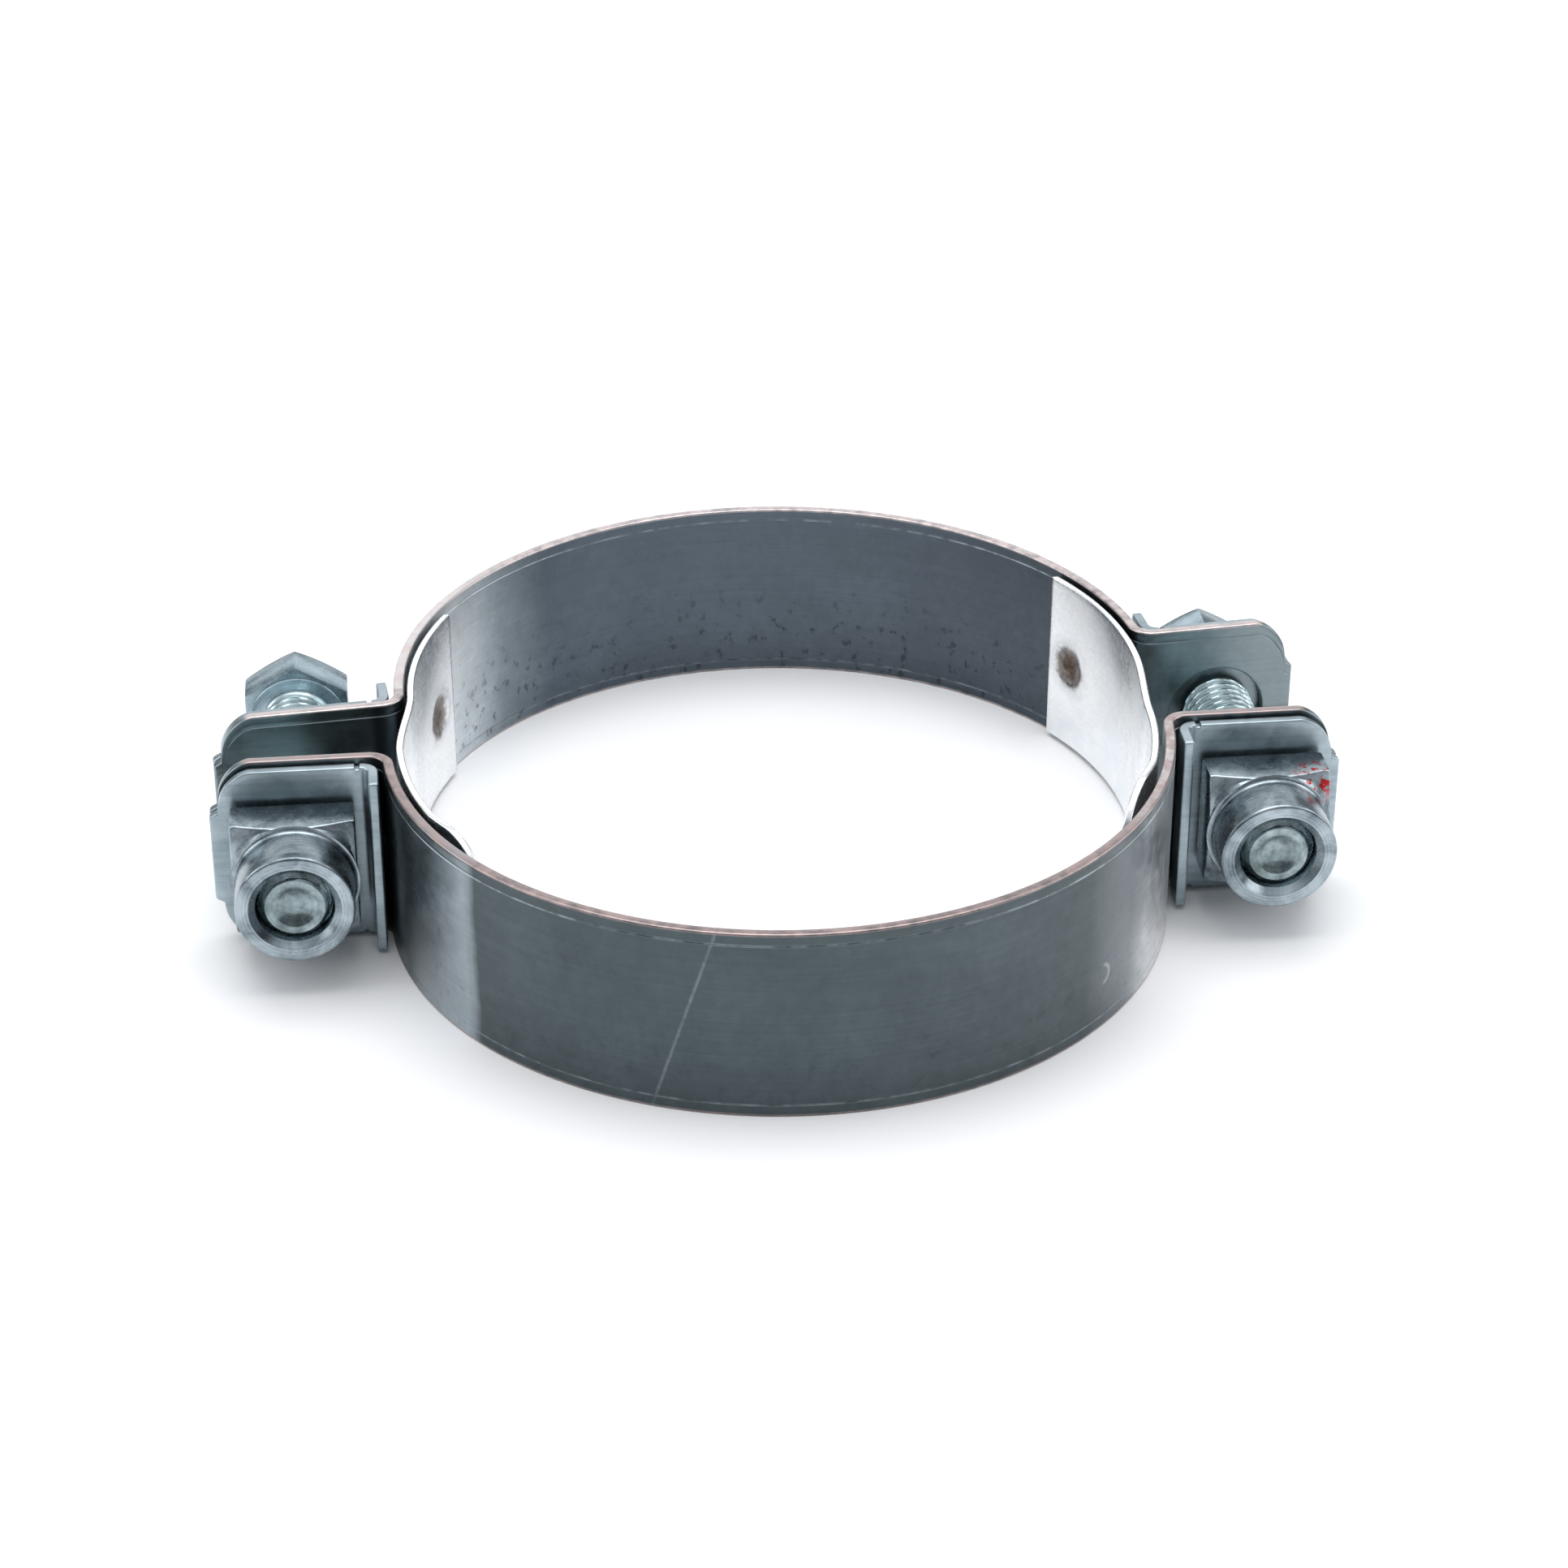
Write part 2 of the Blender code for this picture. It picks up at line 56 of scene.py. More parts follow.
# ---- sizes shared with the CAD model ------------------------------------
FRONT_RADIUS = 42.0 * MM
REAR_RADIUS = 41.6 * MM
FRONT_SHIFT = 6.2 * MM
REAR_SHIFT = 6.25 * MM
REAR_TURN = math.radians(5.3)
REAR_SIDEWAYS = 1.1 * MM
BAND_THICKNESS = 1.1 * MM
EAR_BEND_RADIUS = 1.6 * MM
FRONT_EAR_FACE = 1.1 * MM
REAR_EAR_FACE = 0.35 * MM
TAB_HALF_HEIGHT = 5.0 * MM
TAB_STEP = 0.9 * MM
CORNER_RUN = 3.6 * MM
CORNER_DROP = 4.8 * MM
EAR_HOLE_DIAMETER = 10.87 * MM
PLATE_THICKNESS = 1.1 * MM
PLATE_EDGE_INSET = 0.5 * MM
PLATE_BEND_RADIUS = 0.8 * MM
PLATE_HOLE_DIAMETER = 9.87 * MM
LIP_REACH = 4.8 * MM
LIP_WALL_GAP = 0.4 * MM
RELIEF_WIDTH = 0.5 * MM
RELIEF_DEPTH = 0.3 * MM
SEAT_GAP = 0.3 * MM
BOLT_DIAMETER = 8.0 * MM
HEAD_ACROSS_FLATS = 11.4 * MM
HEAD_HEIGHT = 5.3 * MM
WASHER_DIAMETER = 10.8 * MM
WASHER_HEIGHT = 0.4 * MM
NUT_ACROSS_FLATS = 13.0 * MM
NUT_BODY_HEIGHT = 5.0 * MM
NUT_CORNER_DROP = 1.2 * MM
COLLAR_DIAMETER = 12.4 * MM
MOUTH_DIAMETER = 9.6 * MM
BRIDGE_THICKNESS = 0.8 * MM
BRIDGE_TAIL = {"left": math.radians(27.3), "right": math.radians(31.2)}
BRIDGE_TONGUE = {"left": math.radians(33.5), "right": math.radians(28.5)}
BRIDGE_WALL_GAP = 0.45 * MM
BRIDGE_FLARE = 0.9 * MM
BRIDGE_FLARE_ARC = math.radians(13.0)
BRIDGE_CORNER = 5.5 * MM
CLOSING_TRAVEL = 1.0 * MM
PITCH = 1.25 * MM
THREAD_DEPTH = 0.70 * MM

# ---- detail only seen here ----------------------------------------------
RIM_RADIUS = 0.22 * MM            # rounding of the sheets' edges
COIN_OFFSET = 1.35 * MM           # groove along a band's edge, from the edge
COIN_DEPTH = 0.06 * MM
COIN_WIDTH = 0.16 * MM
COIN_FOOT = 0.5 * MM              # face between a groove and the evenly spaced heights
RIM_STEPS = 6                     # steps round a rim's quarter circle
END_STEPS = 4                     # the same at a strip's two ends
BEND_STEPS = 14
LIP_BEND_STEPS = 12
RING_STEP = math.radians(1.0)
BRIDGE_STEPS = 50                 # along each of a bridge plate's two arcs
CROSSING_STEPS = 20
HOLE_SIDES = 72
HOLE_LIP = 0.18 * MM
EAR_CORNER_STEPS = 14
EAR_STEPS = 12
NOTCH_RAMP = 0.12 * MM            # length of the relief notch's two ends along X
EASE = 0.12 * MM                  # eased corners of nuts and heads
NUT_SIDES = 144
NUT_BORE_PLAY = 0.12 * MM
COLLAR_EDGE = 0.35 * MM
COLLAR_FILLET = 0.5 * MM
BOLT_SIDES = 72
THREAD_SHRINK = 0.03 * MM         # off the radius, to stay inside the CAD's cylinder
TIP_CHAMFER = 0.85 * MM
DISH_RADIUS = 2.35 * MM
DISH_DEPTH = 0.75 * MM
THREAD_RUNOUT = 0.5 * MM          # plain neck under the head
HEAD_TOP_SLOPE = math.radians(28)
SHARP_ANGLE = math.radians(32)
WELD_RADIUS = 2.4 * MM
WELD_DEPTH = 0.28 * MM
WELD_FROM_TAIL = {"left": 4.3 * MM, "right": 3.9 * MM}
WELD_HEIGHT = {"left": -0.7 * MM, "right": 0.0}

# Base colour of the ears, set to their look in shade: painted shade.
EAR_SHADE_TONE = (0.29, 0.35, 0.37)
SCRATCH_AT = -108.8               # degrees round the front half ring
SCRATCH_SLANT = 4.6
# A dent on the front band, shown only by a painted highlight on one side of its rim.
DENT_AT = -43.9
DENT_HEIGHT = -4.2 * MM
DENT_RADIUS = 1.1 * MM
# Front band tone by angle in degrees: dark across the front as painted shade, the zinc's own lighter
# patch from -158 to -143.8, and painted highlights whitening it from -36 to -12.
FRONT_TONES_AND_PAINTED_LIGHT = (
    (-180, (0.10, 0.12, 0.13)), (-163, (0.11, 0.13, 0.14)), (-158, (0.32, 0.37, 0.40)),
    (-143.8, (0.44, 0.50, 0.54)), (-142.6, (0.10, 0.125, 0.135)), (-95, (0.095, 0.12, 0.13)),
    (-48, (0.12, 0.145, 0.155)), (-36, (0.30, 0.33, 0.35)), (-30, (0.80, 0.83, 0.85)),
    (-22, (1.0, 1.0, 1.0)), (-12, (0.95, 0.96, 0.97)),
)
# Rear band tone by angle in degrees: dark zinc, lightening from 125 to 149 degrees into a painted
# highlight.
REAR_TONES_AND_PAINTED_HIGHLIGHT = (
    (20, (0.10, 0.12, 0.14)), (45, (0.10, 0.12, 0.145)), (70, (0.115, 0.14, 0.165)),
    (125, (0.125, 0.155, 0.185)), (136, (0.27, 0.32, 0.35)), (142, (0.55, 0.61, 0.65)),
    (149, (0.86, 0.92, 0.95)),
)

SIDES = {"left": -1, "right": 1}


def frame_span(node, axis):
    """Lowest and highest coordinate of a CAD node along one axis."""
    low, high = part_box(node)
    return low[axis], high[axis]


RIM_LOW, RIM_HIGH = frame_span("front_band", 2)
MID_HEIGHT = (RIM_LOW + RIM_HIGH) / 2
BAND_HALF = (RIM_HIGH - RIM_LOW) / 2
BRIDGE_LOW, BRIDGE_HIGH = frame_span("bridge_plate_left", 2)
BRIDGE_HALF = (BRIDGE_HIGH - BRIDGE_LOW) / 2


EAR_REACH = frame_span("front_band", 0)[1]


class Half:
    """One half ring, described on the +Y side of its own axis."""

    def __init__(self, radius, sideways, ear_face, place):
        self.radius = radius
        self.sideways = sideways
        self.ear_face = ear_face
        self.place = place

    def lip_x(self, side):
        """How far out a lip's ring-side face is: just clear of the ring's wall."""
        rise = self.ear_face + BAND_THICKNESS
        wall = math.sqrt(self.radius ** 2 - rise ** 2)
        return wall + side * self.sideways + LIP_WALL_GAP

    def plate_mid_y(self):
        return self.ear_face + BAND_THICKNESS + SEAT_GAP + PLATE_THICKNESS / 2


FRONT = Half(FRONT_RADIUS, 0.0, FRONT_EAR_FACE,
             Matrix.Translation((0, -FRONT_SHIFT, 0)) @ Matrix.Rotation(math.pi, 4, "Z"))
REAR = Half(REAR_RADIUS, REAR_SIDEWAYS, REAR_EAR_FACE,
            Matrix.Translation((0, REAR_SHIFT, 0)) @ Matrix.Rotation(REAR_TURN, 4, "Z"))
REAR_CENTRE = REAR.place @ Vector((REAR_SIDEWAYS, 0, 0))


# ---- meshes --------------------------------------------------------------
def add_piece(name, mesh, material, body, node):
    piece = bpy.data.objects.new(name, mesh)
    bpy.context.scene.collection.objects.link(piece)
    mesh.materials.append(material)
    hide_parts(node)
    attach(piece, body)
    return piece


def skin(name, loops, ring=False):
    """A skin over equal closed loops of points; its ends meet, or are capped."""
    bm = bmesh.new()
    rows = [[bm.verts.new(point) for point in loop] for loop in loops]
    count = len(rows[0])
    for near, far in zip(rows, rows[1:] + (rows[:1] if ring else [])):
        for i in range(count):
            j = (i + 1) % count
            bm.faces.new((near[i], near[j], far[j], far[i]))
    if not ring:
        bm.faces.new(list(reversed(rows[0])))
        bm.faces.new(rows[-1])
    bmesh.ops.recalc_face_normals(bm, faces=bm.faces)
    mesh = bpy.data.meshes.new(name)
    bm.to_mesh(mesh)
    bm.free()
    return mesh


def smooth(mesh):
    mesh.shade_smooth()
    mesh.set_sharp_from_angle(angle=SHARP_ANGLE)


def bored(mesh, cutter_mesh):
    """The mesh with the cutter taken away."""
    target = bpy.data.objects.new("target", mesh)
    cutter = bpy.data.objects.new("cutter", cutter_mesh)
    for item in (target, cutter):
        bpy.context.scene.collection.objects.link(item)
    modifier = target.modifiers.new("bore", "BOOLEAN")
    modifier.operation = "DIFFERENCE"
    modifier.solver = "EXACT"
    modifier.object = cutter
    depsgraph = bpy.context.evaluated_depsgraph_get()
    result = bpy.data.meshes.new_from_object(target.evaluated_get(depsgraph))
    for item in (target, cutter):
        bpy.data.objects.remove(item)
    return result


def arc_points(centre, radius, start, end, steps):
    return [
        (centre[0] + radius * math.cos(start + (end - start) * i / steps),
         centre[1] + radius * math.sin(start + (end - start) * i / steps))
        for i in range(steps + 1)
    ]


# ---- formed sheet --------------------------------------------------------
class Sheet:
    """A strip of metal swept along a plan path with a rounded cross-section."""

    def __init__(self, thickness, coined=False, level_step=0.5 * MM):
        self.thickness = thickness
        self.coined = coined
        self.level_step = level_step
        self.relief = None            # optional (face, distance, height) -> depth

    def face_levels(self, half):
        """Heights on a face, from -half to half, without the rounded rims."""
        flat = half - RIM_RADIUS
        inner = half - COIN_OFFSET - 0.2 * MM
        count = int(BAND_HALF * 2 / self.level_step)
        levels = [-inner + 2 * inner * i / count for i in range(count + 1)]
        line = half - COIN_OFFSET
        groove = [line - COIN_WIDTH / 2, line, line + COIN_WIDTH / 2, line + COIN_FOOT]
        return [-z for z in reversed(groove + [flat])] + levels + groove + [flat]

    def coin(self, height, half):
        """How far the face sinks at this height, for the rolled edge groove."""
        if not self.coined:
            return 0.0
        off = abs(half - abs(height) - COIN_OFFSET)
        if off < 0.02 * MM:
            return COIN_DEPTH
        outside = half - abs(height) < COIN_OFFSET
        return COIN_DEPTH * 0.4 if outside else 0.0

    def section(self, half, inset, distance):
        """Closed loop of (across, height) pairs; the across axis is the outer side."""
        edge = self.thickness / 2 - inset
        tall = half - inset
        points = []
        levels = self.face_levels(half)
        shrink = tall / half
        corner = max(RIM_RADIUS - inset, 0.02 * MM)
        rim = []
        for i in range(1, RIM_STEPS):
            turn = math.pi / 2 * i / RIM_STEPS
            rim.append((edge - corner + corner * math.cos(turn), tall - corner + corner * math.sin(turn)))
        rim.append((edge - corner, tall))
        for face in (1, -1):
            for height in levels if face == 1 else reversed(levels):
                sink = self.coin(height, half)
                if self.relief and inset == 0:
                    sink += self.relief(face, distance, height)
                points.append((face * (edge - sink), height * shrink))
            points += [(face * across, face * up) for across, up in rim]
            points += [(-face * across, face * up) for across, up in reversed(rim)]
        return points

    def mesh(self, name, path, halves, place):
        """Sweep along the path, rounding both ends, and set it in its place."""
        rounding = [(RIM_RADIUS * (1 - math.sin(turn)), RIM_RADIUS * (1 - math.cos(turn)))
                    for turn in (math.pi / 2 * i / END_STEPS for i in range(END_STEPS, 0, -1))]
        path = [Vector((x, y)) for x, y in path]
        start = (path[0] - path[1]).normalized()
        end = (path[-1] - path[-2]).normalized()
        spots = [(path[0] - start * back, halves[0], inset) for back, inset in rounding]
        spots += [(point, half, 0.0) for point, half in zip(path, halves)
                  if (point - path[0]).length > RIM_RADIUS and (point - path[-1]).length > RIM_RADIUS]
        spots += [(path[-1] - end * back, halves[-1], inset) for back, inset in reversed(rounding)]
        loops = []
        distance = 0.0
        for i, (point, half, inset) in enumerate(spots):
            before = spots[max(i - 1, 0)][0]
            after = spots[min(i + 1, len(spots) - 1)][0]
            distance += (point - before).length
            along = (after - before).normalized()
            out = Vector((along.y, -along.x))
            loop = []
            for across, height in self.section(half, inset, distance):
                flat = point + out * across
                loop.append(place @ Vector((flat.x, flat.y, MID_HEIGHT + height)))
            loops.append(loop)
        return skin(name, loops)


def hole_cutter(diameter, thickness, x, y, place):
    """A bar with flared ends that leaves a hole with rounded lips."""
    flare = HOLE_LIP
    face = thickness / 2
    profile = [(diameter / 2 + flare * 1.4, -face - flare * 0.4)]
    for i in range(4):
        turn = math.pi / 2 * i / 3
        profile.append((diameter / 2 + flare * (1 - math.sin(turn)),
                        -face + flare * (1 - math.cos(turn))))
    profile += [(radius, -along) for radius, along in reversed(profile)]
    loops = []
    for radius, along in profile:
        turns = [2 * math.pi * i / HOLE_SIDES for i in range(HOLE_SIDES)]
        loops.append([place @ Vector((x + radius * math.cos(turn), y + along,
                                      MID_HEIGHT + radius * math.sin(turn))) for turn in turns])
    return skin("hole", loops)


def ear_outline(edge):
    """(x, half height) pairs along an ear, from its flat part to its tab's end."""
    start_x = EAR_REACH - TAB_STEP - CORNER_RUN
    outline = [(start_x, edge)]
    for i in range(1, EAR_CORNER_STEPS + 1):
        turn = math.pi / 2 * (1 - i / EAR_CORNER_STEPS)
        outline.append((start_x + CORNER_RUN * math.cos(turn) ** 1.3,
                        edge - CORNER_DROP * (1 - math.sin(turn) ** 0.9)))
    body_x = EAR_REACH - TAB_STEP
    outline.append((body_x + 0.03 * MM, TAB_HALF_HEIGHT + TAB_STEP / 2))
    outline.append((EAR_REACH - 0.25 * MM, TAB_HALF_HEIGHT + 0.1 * MM))
    outline.append((EAR_REACH, TAB_HALF_HEIGHT))
    return outline


def ear_stations(edge, y, from_x):
    """Plan points and half heights from the bend out to the tab's end."""
    outline = ear_outline(edge)
    first = outline[0][0]
    stations = [(from_x + (first - from_x) * i / EAR_STEPS, y, edge) for i in range(EAR_STEPS)]
    return stations + [(x, y, half) for x, half in outline]


def half_band_stations(half):
    """Right tab, ear, bend, ring, bend, ear, left tab of a half band."""
    ring = half.radius - BAND_THICKNESS / 2
    bend = EAR_BEND_RADIUS + BAND_THICKNESS / 2
    ear_y = half.ear_face + BAND_THICKNESS / 2
    rise = ear_y + bend
    spread = math.sqrt((ring + bend) ** 2 - rise ** 2)
    start = math.atan2(rise, spread)

    def ear(side):
        bend_x = spread + side * half.sideways
        corner = arc_points((bend_x, rise), bend, -math.pi / 2, start - math.pi, BEND_STEPS)
        stations = list(reversed(ear_stations(BAND_HALF, ear_y, bend_x)))
        stations += [(x, y, BAND_HALF) for x, y in corner[1:]]
        return [(side * x, y, high) for x, y, high in stations]

    ring_steps = round((math.pi - 2 * start) / RING_STEP)
    crown = arc_points((half.sideways, 0), ring, start, math.pi - start, ring_steps)
    return ear(1) + [(x, y, BAND_HALF) for x, y in crown[1:-1]] + list(reversed(ear(-1)))


def backing_plate_stations(half, side):
    """Tab, plate, bend and lip of a backing plate drawn on the right, with its relief notch."""
    edge = BAND_HALF - PLATE_EDGE_INSET
    mid_y = half.plate_mid_y()
    mid_x = half.lip_x(side) + PLATE_THICKNESS / 2
    bend = PLATE_BEND_RADIUS + PLATE_THICKNESS / 2
    notch_x = mid_x + bend
    low = edge - RELIEF_DEPTH
    plate = list(reversed(ear_stations(edge, mid_y, notch_x + RELIEF_WIDTH + NOTCH_RAMP)))
    plate += [(notch_x + RELIEF_WIDTH, mid_y, low), (notch_x + NOTCH_RAMP, mid_y, low),
              (notch_x, mid_y, edge)]
    corner = arc_points((notch_x, mid_y + bend), bend, -math.pi / 2, -math.pi, LIP_BEND_STEPS)
    plate += [(x, y, edge) for x, y in corner[1:]]
    tip_y = mid_y - PLATE_THICKNESS / 2 + LIP_REACH
    reach = tip_y - corner[-1][1]
    plate += [(mid_x, corner[-1][1] + reach * i / 4, edge) for i in range(1, 5)]
    return plate


def bridge_stations(side_name):
    """Welded tail to free tip of a bridge plate drawn on the right."""
    tail, tongue = BRIDGE_TAIL[side_name], BRIDGE_TONGUE[side_name]
    rear_x, rear_y = SIDES[side_name] * REAR_CENTRE.x, REAR_CENTRE.y
    rear_seat = REAR_RADIUS - BAND_THICKNESS - SEAT_GAP - BRIDGE_THICKNESS / 2
    front_seat = FRONT_RADIUS - BAND_THICKNESS - BRIDGE_WALL_GAP - BRIDGE_THICKNESS / 2
    points = [Vector(p) for p in arc_points((rear_x, rear_y), rear_seat, tail, 0, BRIDGE_STEPS)]
    for i in range(1, CROSSING_STEPS):
        share = i / CROSSING_STEPS
        eased = share * share * (3 - 2 * share)
        x = rear_x + rear_seat + (front_seat - rear_x - rear_seat) * eased
        points.append(Vector((x, rear_y - (rear_y + FRONT_SHIFT) * share)))
    for i in range(BRIDGE_STEPS + 1):
        turn = tongue * i / BRIDGE_STEPS
        flared = max(turn - (tongue - BRIDGE_FLARE_ARC), 0.0) / BRIDGE_FLARE_ARC
        lift = CLOSING_TRAVEL * math.sin(turn) + BRIDGE_FLARE * math.sin(flared * math.pi / 2)
        radius = front_seat - lift
        points.append(Vector((radius * math.cos(turn), -FRONT_SHIFT - radius * math.sin(turn))))
    stations = []
    for point in points:
        cut = max(1 - (point - points[-1]).length / BRIDGE_CORNER, 0.0)
        drop = BRIDGE_CORNER * (1 - math.sqrt(max(1 - cut ** 1.6, 0.0)))
        stations.append((point.x, point.y, BRIDGE_HALF - drop))
    return stations


def mirrored(stations, side):
    """The same stations for the left side, run so that the outer face stays out."""
    return stations if side == 1 else [(-x, y, h) for x, y, h in reversed(stations)]


def split(stations):
    return [(x, y) for x, y, h in stations], [h for x, y, h in stations]


def weld_relief(face_of_weld, distance_of_weld, height_of_weld):
    """A round electrode dimple with a low raised rim."""
    def relief(face, distance, height):
        if face != face_of_weld:
            return 0.0
        away = math.hypot(distance - distance_of_weld, height - height_of_weld) / WELD_RADIUS
        if away > 1.5:
            return 0.0
        bowl = WELD_DEPTH * max(1 - away ** 2, 0.0) ** 0.7
        rim = 0.06 * MM * math.exp(-((away - 1.12) / 0.14) ** 2)
        return bowl - rim
    return relief


# ---- turned and threaded pieces --------------------------------------------
def ring_loops(rings, place, sides):
    """Closed loops from (radius, along) rings; either may be a function of the angle."""
    loops = []
    for radius_at, along in rings:
        loop = []
        for i in range(sides):
            turn = 2 * math.pi * i / sides
            radius = radius_at(turn) if callable(radius_at) else radius_at
            z = along(turn) if callable(along) else along
            loop.append(place @ Vector((radius * math.cos(turn), radius * math.sin(turn), z)))
        loops.append(loop)
    return loops


def polygon_radius(flats, across, turn, corner_limit):
    """Distance from the centre to a regular polygon's side at an angle."""
    step = 2 * math.pi / flats
    off = (turn + step / 2) % step - step / 2
    return min(across / 2 / math.cos(off), corner_limit)


def thread_radius(turn, along, major):
    """A right-hand V thread with flat crests and rounded roots."""
    phase = (along / PITCH - turn / (2 * math.pi)) % 1.0
    ramp = abs(phase - 0.5) * 2
    height = min(max((ramp - 0.16) / 0.68, 0.0), 1.0)
    return major - THREAD_DEPTH * (1 - height) ** 1.15


def rounded_steps(steps):
    return [math.pi / 2 * i / steps for i in range(steps + 1)]


def nut_loops(place, length):
    """Bore, mouth, collar, body and base of a square nut with a round collar."""
    bore = BOLT_DIAMETER / 2 + NUT_BORE_PLAY
    mouth = MOUTH_DIAMETER / 2
    collar = COLLAR_DIAMETER / 2
    half = NUT_ACROSS_FLATS / 2
    corner = half * math.sqrt(2) * 0.985
    fall = NUT_CORNER_DROP / (half * (math.sqrt(2) - 1))
    edge = COLLAR_EDGE
    fillet = COLLAR_FILLET
    ease = EASE

    def square(turn):
        return polygon_radius(4, NUT_ACROSS_FLATS, turn, corner)

    def front(radius):
        return NUT_BODY_HEIGHT - fall * (radius - half)

    rings = []
    bored_length = length - (mouth - bore)
    steps = int(bored_length / (PITCH / 8))
    for i in range(steps + 1):
        rings.append((bore, i * bored_length / steps))
    rings.append((mouth, length))
    rings.append((mouth + 0.05 * MM, length))
    rings.append((collar - edge, length))
    rings += [(collar - edge + edge * math.sin(t), length - edge + edge * math.cos(t))
              for t in rounded_steps(5)[1:]]
    rings.append((collar, front(collar) + fillet + 0.1 * MM))
    rings += [(collar + fillet * (1 - math.cos(t)), front(collar) + fillet * (1 - math.sin(t)) * 0.9)
              for t in rounded_steps(5)]
    for share in (0.25, 0.5, 0.75, 0.93):
        def radius_at(turn, share=share):
            inner = collar + fillet
            return inner + (max(square(turn) - ease, inner + 0.01 * MM) - inner) * share
        rings.append((radius_at, lambda turn, radius_at=radius_at: front(radius_at(turn))))
    rings.append((lambda turn: max(square(turn) - ease, collar + fillet + 0.015 * MM),
                  lambda turn: front(square(turn) - ease)))
    rings.append((lambda turn: square(turn) - ease * 0.3,
                  lambda turn: front(square(turn)) - ease * 0.35))
    rings.append((square, lambda turn: front(square(turn)) - ease * 1.1))
    rings.append((square, lambda turn: front(square(turn)) * 0.5))
    rings.append((square, ease))
    rings.append((lambda turn: square(turn) - ease * 0.3, ease * 0.3))
    rings.append((lambda turn: square(turn) - ease, 0.0))
    rings.append((mouth, 0.0))
    return ring_loops(rings, place, NUT_SIDES)


def bolt_loops(place, length):
    """Dished tip, threaded shank, washer face and hexagon head of a bolt."""
    major = BOLT_DIAMETER / 2 - THREAD_SHRINK
    chamfer = TIP_CHAMFER
    dish = DISH_RADIUS
    washer = WASHER_DIAMETER / 2
    across = HEAD_ACROSS_FLATS
    corner = across / math.sqrt(3) * 0.995
    ease = EASE

    def tip_limit(along):
        return major - chamfer + max(length - along, 0.0)

    rings = []
    for share in (0.02, 0.2, 0.4, 0.6, 0.8, 0.95):
        rings.append((dish * share, length - DISH_DEPTH * (1 - share ** 2.2)))
    rings.append((dish, length - 0.02 * MM))
    rings.append((dish + 0.1 * MM, length))
    rings.append((major - chamfer - 0.05 * MM, length))
    step = PITCH / 12
    count = int((length - THREAD_RUNOUT) / step)
    for i in range(count + 1):
        along = length - i * step
        rings.append((lambda turn, along=along: min(thread_radius(turn, along, major), tip_limit(along)),
                      along))
    neck = length - count * step
    rings.append((major - 0.25 * MM, neck - 0.15 * MM))
    rings.append((major - 0.05 * MM, 0.1 * MM))
    rings.append((major + 0.15 * MM, 0.0))
    rings.append((washer - 0.1 * MM, 0.0))
    rings.append((washer, -0.1 * MM))
    rings.append((washer, -WASHER_HEIGHT + 0.02 * MM))
    rings.append((washer + 0.05 * MM, -WASHER_HEIGHT))

    def hexagon(turn):
        return polygon_radius(6, across, turn, corner)

    def top_limit(radius):
        return -HEAD_HEIGHT + max(radius - across / 2 * 0.93, 0.0) * math.tan(HEAD_TOP_SLOPE)

    rings.append((lambda turn: hexagon(turn) - ease, -WASHER_HEIGHT))
    rings.append((lambda turn: hexagon(turn) - ease * 0.3, -WASHER_HEIGHT - ease * 0.3))
    rings.append((hexagon, -WASHER_HEIGHT - ease))
    rings.append((hexagon, -HEAD_HEIGHT * 0.5))
    rings.append((hexagon, lambda turn: top_limit(hexagon(turn)) + ease))
    rings.append((lambda turn: hexagon(turn) - ease * 0.4,
                  lambda turn: top_limit(hexagon(turn)) + ease * 0.2))
    rings.append((lambda turn: hexagon(turn) - ease * 1.5,
                  lambda turn: top_limit(hexagon(turn) - ease * 1.5)))
    for share in (0.97, 0.93):
        rings.append((across / 2 * share, top_limit(across / 2 * share)))
    rings.append((across / 2 * 0.88, -HEAD_HEIGHT))
    rings.append((across / 2 * 0.5, -HEAD_HEIGHT))
    rings.append((across / 2 * 0.05, -HEAD_HEIGHT))
    return ring_loops(rings, place, BOLT_SIDES)


